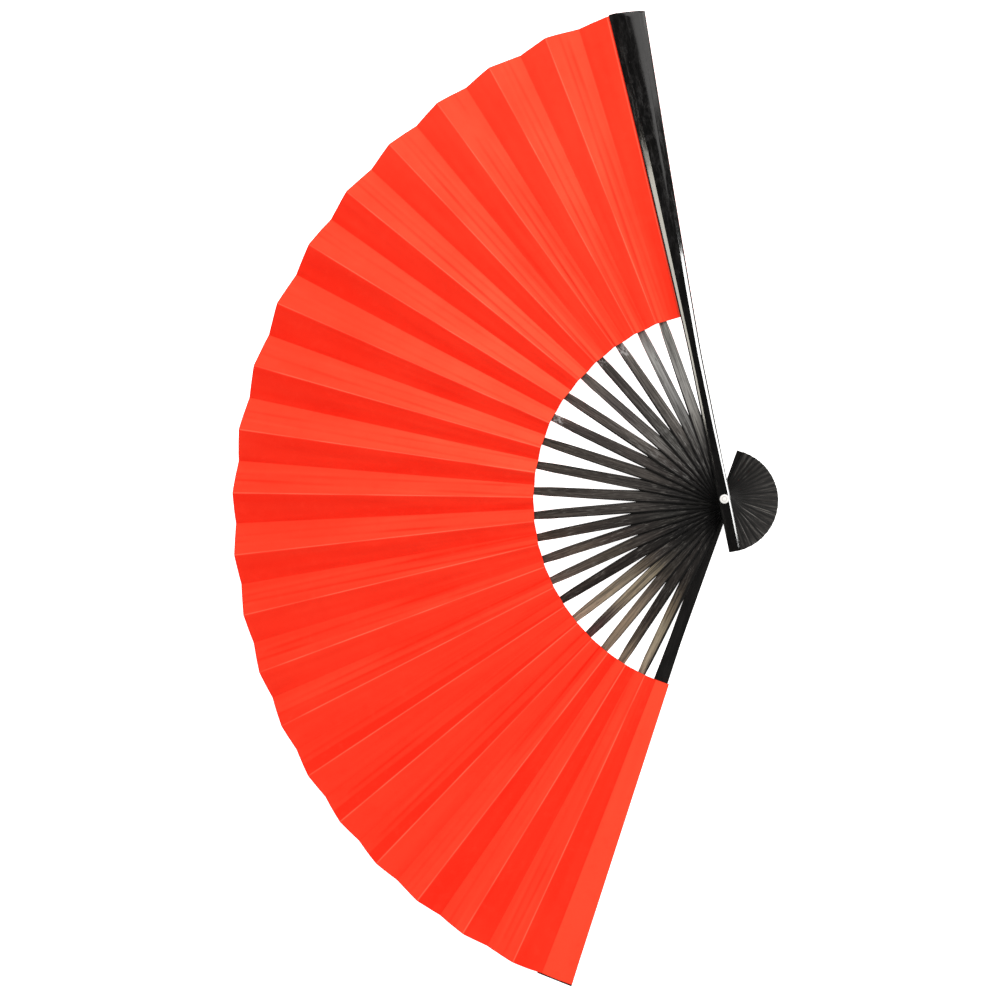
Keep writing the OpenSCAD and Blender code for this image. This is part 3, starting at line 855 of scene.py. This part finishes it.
def rib_ring(i, y, end):
    """Cross-section of rib i at y; end is how much its ends are rounded off there."""
    def half_width(step, seed):
        rough = 0.09 * float(value_noise(y / 22.0, i * step, seed)) if y < 100 else 0.0
        return lookup(y, RIB_HALF) - end + rough

    left, right = half_width(1.9, seed=72), half_width(2.3, seed=73)
    bow = BOW.get(i, 0.0)
    # a bowed stick's tongue is thinner where it runs off centre under the sheet
    sink = 0.2 * min(1.0, abs(bow) / 0.4) * band(y, (105, 111, 125, 165))
    top = lookup(y, RIB_TOP) - end * 0.6 - sink
    corner = min(0.13, top * 0.3)
    face = []
    for u in (1.0, 0.72, 0.4, 0.0, -0.4, -0.72, -1.0):
        across = u * ((right if u > 0 else left) - corner)
        grain = 0.012 * float(value_noise(across / 0.8 + i * 5, y / 30.0, seed=74))
        face.append((across, top - RIB_CROWN * u * u + (grain if abs(u) < 1 else 0)))
    shoulder = top - RIB_CROWN - corner
    ring = [(right - corner * 0.5, 0.0), (right, corner * 0.6), (right, shoulder),
            (right - corner * 0.3, top - RIB_CROWN - corner * 0.3), *face,
            (-left + corner * 0.3, top - RIB_CROWN - corner * 0.3),
            (-left, shoulder), (-left, corner * 0.6), (-left + corner * 0.5, 0.0), (0.0, 0.0)]
    wander = 0.10 * float(value_noise(y / 34.0, i * 3.7, seed=71)) if -25 < y < 100 else 0.0
    offset = wander - math.radians(bow) * min(y, 112) * (1 - ease(y, 112, 157))
    base = rib_base(i) + end * 0.3
    return [place(across + offset, y, base + z, direction(i)) for across, z in ring]


def build_rib(i):
    end_rounding = {0: 0.10, 1: 0.03, len(RIB_STATIONS) - 1: 0.10}
    rings = [rib_ring(i, y, end_rounding.get(k, 0.0)) for k, y in enumerate(RIB_STATIONS)]
    ob = new_object("rib_stick_%02d" % i, loft(rings), rib_material(i), 40)
    low, high = rib_base(i) - 1, rib_base(i) + RIB_THICK + 1
    cut(ob, [(0, low), (HOLE_RADIUS, low), (HOLE_RADIUS, high), (0, high)],
        segments=32, sharp_angle=40)
    register(ob, "rib_%02d" % i, "rib_%02d" % i)


for i in range(1, RIBS + 1):
    build_rib(i)

# ---------------------------------------------------------------- guards
GUARD_STATIONS = [-TAIL, -TAIL + 0.1, -TAIL + 0.3, -TAIL + 0.8, *np.linspace(-29, 105, 40),
                  110.2, 110.5, 112, *np.linspace(116, 294, 44),
                  GUARD_LENGTH - 0.8, GUARD_LENGTH - 0.3, GUARD_LENGTH - 0.1, GUARD_LENGTH]
RELIEF_START = 110.35
END_DROPS = (0.28, 0.14, 0.05)      # rounding of both ends, from the last station inward
TIP_SKEW = 1.3                      # how far the front guard's tip edge runs off square
# (mm from the rivet, width) of the front guard's +X side
RIGHT_BEVEL = [(5, 1.15), (45, 1.9), (123, 2.45), (138, 2.5)]
RIGHT_LEDGE = [(5, 0.28), (45, 0.58)]


def bevel_width(half):
    return min(3.6, 1.3 + 0.55 * (half - GUARD_WAIST / 2))


def guard_side(half, bevel, ledge, drop):
    """Half of the outer face from the rim inward: thin ledge, bevel, soft crown."""
    blend, crown, fall = 0.16, 0.2, 0.42
    flat = half - bevel
    rim_z = GUARD_THICK - crown - fall * (bevel - ledge)
    half_run = 0.5 * (bevel - ledge - blend)
    points = [(half, rim_z - 0.16), (half - 0.03, rim_z - 0.07), (half - 0.10, rim_z - 0.02),
              (half - ledge + 0.03, rim_z), (half - ledge - 0.05, rim_z + 0.02),
              (half - ledge - half_run, rim_z + fall * half_run),
              (flat + blend, GUARD_THICK - crown - fall * blend)]
    crown_slope = 2 * crown / flat
    for t in (0.5, 0.0, -0.5, -1.0):
        across = flat + t * blend
        if t <= 0:
            z = GUARD_THICK - crown * (across / flat) ** 2
        else:
            z = GUARD_THICK - crown - fall * (across - flat)
        z -= 0.5 * (fall - crown_slope) * (blend - abs(across - flat)) ** 2 / (2 * blend)
        points.append((across, z))
    for share in (0.66, 0.33):
        points.append((flat * share, GUARD_THICK - crown * share * share))
    return [(across, z - drop) for across, z in points]


def guard_ring(front, y, drop, skew):
    full_half = guard_half(y)
    half = full_half - (0.2 if y < 0 else 0.0) - drop * 0.8
    left_bevel = min(3.85, bevel_width(full_half) + 0.45)
    if front:
        right_bevel = lookup(y, RIGHT_BEVEL)
        if y > RIGHT_BEVEL[-1][0]:
            right_bevel = max(right_bevel, bevel_width(full_half) + 0.2)
        right_ledge, left_ledge = lookup(y, RIGHT_LEDGE), 0.56
    else:
        right_bevel = left_bevel
        right_ledge = left_ledge = 0.4
    right = guard_side(half, right_bevel, right_ledge, drop)
    left = guard_side(half, left_bevel, left_ledge, drop)
    inner = (RELIEF if y > RELIEF_START else 0.0) + drop * 0.5
    ring = [(0.0, inner), (half - 0.15, inner), (half, inner + 0.15), *right,
            (0.0, GUARD_THICK - drop), *[(-across, z) for across, z in reversed(left)],
            (-half, inner + 0.15), (-half + 0.15, inner)]
    if front:
        return [place(across, y - skew * across / half, FRONT_Z + z, 0.0) for across, z in ring]
    return [place(-across, y, GUARD_THICK - z, SPREAD) for across, z in ring]


def build_guard(name, front):
    last = len(GUARD_STATIONS) - 1
    rings = []
    for k, y in enumerate(GUARD_STATIONS):
        from_end = min(k, last - k)
        drop = END_DROPS[from_end] if from_end < len(END_DROPS) else 0.0
        rings.append(guard_ring(front, y, drop, TIP_SKEW if k >= last - 3 else 0.0))
    if front:
        lacquer = lacquer_material(name + "_lacquer", turn=0.0, gain=1.0)
        seat, low, high = TOP_Z - SEAT_DEPTH, FRONT_Z - 1, TOP_Z + 1
        bore = [(0, low), (HOLE_RADIUS, low), (HOLE_RADIUS, seat), (SEAT_RADIUS, seat),
                (SEAT_RADIUS, high), (0, high)]
    else:
        lacquer = lacquer_material(name + "_lacquer", turn=SPREAD, gain=2.3)
        high = GUARD_THICK + 1
        bore = [(0, -1), (SEAT_RADIUS, -1), (SEAT_RADIUS, SEAT_DEPTH),
                (HOLE_RADIUS, SEAT_DEPTH), (HOLE_RADIUS, high), (0, high)]
    ob = new_object(name, loft(rings), lacquer, 32)
    cut(ob, bore, segments=50 if front else 48, sharp_angle=32)
    body = "front_guard" if front else "rear_guard"
    register(ob, body, body)
    return ob


GUARDS = (build_guard("guard_front", True), build_guard("guard_rear", False))


# ---------------------------------------------------------------- rivet
def head_z(radius):
    """Domed top of the rivet's head, with a shallow ring groove."""
    dome = 0.47 * math.sin(math.acos(radius / HEAD_RADIUS)) ** 0.9
    return TOP_Z - 0.14 + dome - 0.07 * bell(radius, 1.35, 0.20)


def build_rivet():
    enamel = rivet_material()
    radii = [HEAD_RADIUS * math.cos(math.radians(10 * k)) for k in range(1, 5)]
    radii += [1.75, 1.6, 1.48, 1.35, 1.22, 1.1, 0.9, 0.5]
    pin = [(0, 0.42), (PIN_RADIUS, 0.42), (PIN_RADIUS, TOP_Z - 0.9),
           (HEAD_RADIUS - 0.12, TOP_Z - 0.9), (HEAD_RADIUS, TOP_Z - 0.80),
           (HEAD_RADIUS, TOP_Z - 0.16), *[(radius, head_z(radius)) for radius in radii],
           (0, TOP_Z + 0.33)]
    cap = [(0, 0.0), (2.45, 0.0), (2.62, 0.05), (HEAD_RADIUS, 0.16), (HEAD_RADIUS, 0.80),
           (2.6, 0.9), (1.52, 0.9), (1.52, 0.44), (0, 0.44)]
    for name, profile, replaced in (("rivet_front", pin, "rivet_pin"),
                                    ("rivet_rear", cap, "rivet_cap")):
        ob = new_object(name, lathe(profile, segments=64), enamel, 35)
        register(ob, "front_guard", replaced)


build_rivet()


# ---------------------------------------------------------------- floor and world
def floor_material():
    """Glowing white from above, clear from below."""
    mat = Shader("floor_sweep")
    mat.set({"Base Color": (0.86, 0.855, 0.85), "Roughness": 0.9, "Specular IOR Level": 0.0,
             "Emission Color": (1.0, 0.998, 0.99), "Emission Strength": 0.95})
    geometry = mat.node("NewGeometry")
    clear = mat.node("BsdfTransparent")
    one_way = mat.node("MixShader", {0: geometry.outputs["Backfacing"],
                                     1: mat.surface.outputs[0], 2: clear.outputs[0]})
    feed(mat.tree, mat.output.inputs[0], one_way.outputs[0])
    return mat.material


def build_floor(reach=6.0, z=-0.0004):
    material = floor_material()
    mesh = bpy.data.meshes.new("floor")
    mesh.from_pydata([(-reach, -reach, z), (reach, -reach, z), (reach, reach, z),
                      (-reach, reach, z)], [], [(0, 1, 2, 3)])
    floor = bpy.data.objects.new("floor", mesh)
    scene.collection.objects.link(floor)
    mesh.materials.append(material)


def build_world():
    """Soft light for surfaces, nearly dark in reflections, white to the camera."""
    world = bpy.data.worlds.new("studio")
    scene.world = world
    world.use_nodes = True
    tree = world.node_tree
    tree.nodes.clear()
    output = add_node(tree, "OutputWorld")
    rays = add_node(tree, "LightPath").outputs
    soft, gloss, camera = (
        add_node(tree, "Background", {"Color": colour, "Strength": strength}).outputs[0]
        for colour, strength in (((1.0, 0.995, 0.985), 0.78), ((1, 1, 1), 0.05),
                                 ((1, 1, 1), 1.0)))
    unseen = add_node(tree, "MixShader", {0: rays["Is Glossy Ray"], 1: soft, 2: gloss})
    mixed = add_node(tree, "MixShader", {0: rays["Is Camera Ray"], 1: unseen.outputs[0],
                                         2: camera})
    feed(tree, output.inputs[0], mixed.outputs[0])


build_floor()
build_world()

# ---------------------------------------------------------------- lights
# camera axes as columns (right, up, back), and the camera's place in mm
CAMERA_AXES = ((0.973656, 0.19539, 0.117543),
               (-0.183635, 0.977503, -0.103761),
               (-0.135173, 0.079443, 0.987632))
CAMERA_PLACE = (-0.678, -88.056, 1098.311)
FAN_MIDDLE = np.array([-0.11, 0.02, 0.01])


def light_group(name, objects):
    group = bpy.data.collections.new(name)
    scene.collection.children.link(group)
    for ob in objects:
        group.objects.link(ob)
    return group


def area(name, centre, target, size, radiance, colour, only, roll=(0, 1, 0)):
    """Rectangular light given by its own radiance; roll is its upward direction."""
    data = bpy.data.lights.new(name, "AREA")
    data.shape = "RECTANGLE"
    data.size, data.size_y = size
    data.energy = radiance * math.pi * size[0] * size[1]
    data.color = colour
    ob = bpy.data.objects.new(name, data)
    scene.collection.objects.link(ob)
    centre = Vector(centre)
    z = -(Vector(target) - centre).normalized()
    x = Vector(roll).cross(z).normalized()
    y = z.cross(x).normalized()
    matrix = Matrix((x, y, z)).transposed().to_4x4()
    matrix.translation = centre
    ob.matrix_world = matrix
    ob.visible_camera = False
    ob.light_linking.receiver_collection = only
    return ob


def soft_light(name, right, up, elevation, distance, size, radiance, colour):
    """Light on all but the guards; right and up give its side of the fan as the camera sees."""
    axes = np.array(CAMERA_AXES)
    level = axes[:, 0] * right + axes[:, 1] * up
    level[2] = 0
    level = level / np.linalg.norm(level)
    rise = math.radians(elevation)
    toward = np.array([level[0] * math.cos(rise), level[1] * math.cos(rise), math.sin(rise)])
    area(name, FAN_MIDDLE + toward * distance, FAN_MIDDLE, size, radiance, colour, ALL_BUT_GUARDS)


def reflection(name, **settings):
    """Light seen only as a reflection in the guards' lacquer."""
    area(name, only=GUARDS_ONLY, **settings).visible_diffuse = False


GUARDS_ONLY = light_group("guards_only", GUARDS)
ALL_BUT_GUARDS = light_group("all_but_guards", [ob for ob in list(scene.objects)
                                                if ob.type == "MESH" and ob not in GUARDS])

soft_light("key", right=0.34, up=0.94, elevation=40, distance=1.9,
           size=(0.8, 0.8), radiance=13.0, colour=(1.0, 0.985, 0.96))
soft_light("fill_right", right=0.9, up=-0.2, elevation=42, distance=1.6,
           size=(0.9, 0.9), radiance=1.9, colour=(1.0, 0.99, 0.97))
soft_light("fill_left", right=-1.0, up=0.25, elevation=32, distance=2.2,
           size=(1.2, 1.0), radiance=1.0, colour=(1.0, 0.99, 0.97))
reflection("strip_right", centre=(0.612, 0.172, 0.62), target=(0.0, 0.06, 0.02),
           size=(0.20, 0.285), radiance=22.0, colour=(1, 1, 0.99))
reflection("strip_left", centre=(-0.612, 0.288, 0.62), target=(0.0, 0.14, 0.02),
           size=(0.20, 0.265), radiance=8.8, colour=(1.0, 0.955, 0.84))
reflection("soft_tip", centre=(0.21, 0.66, 0.62), target=(0.0, 0.28, 0.02),
           size=(0.5, 0.5), radiance=1.3, colour=(1.0, 0.98, 0.96), roll=(-0.37, 0.93, 0))
reflection("soft_tip_edge", centre=(0.612, 0.56, 0.62), target=(0.0, 0.26, 0.02),
           size=(0.20, 0.18), radiance=1.3, colour=(1.0, 0.98, 0.96))

scene.view_settings.view_transform = "Standard"
scene.view_settings.look = "None"
scene.view_settings.exposure = 0.0
scene.view_settings.gamma = 1.0


# ---------------------------------------------------------------- camera
def build_camera():
    data = bpy.data.cameras.new("camera")
    data.sensor_width = 36.0
    data.sensor_fit = "HORIZONTAL"
    data.lens = 66.62
    data.clip_start = 0.01
    camera = bpy.data.objects.new("camera", data)
    scene.collection.objects.link(camera)
    matrix = Matrix(CAMERA_AXES).to_4x4()
    matrix.translation = [c * MM for c in CAMERA_PLACE]
    camera.matrix_world = matrix
    scene.camera = camera


build_camera()
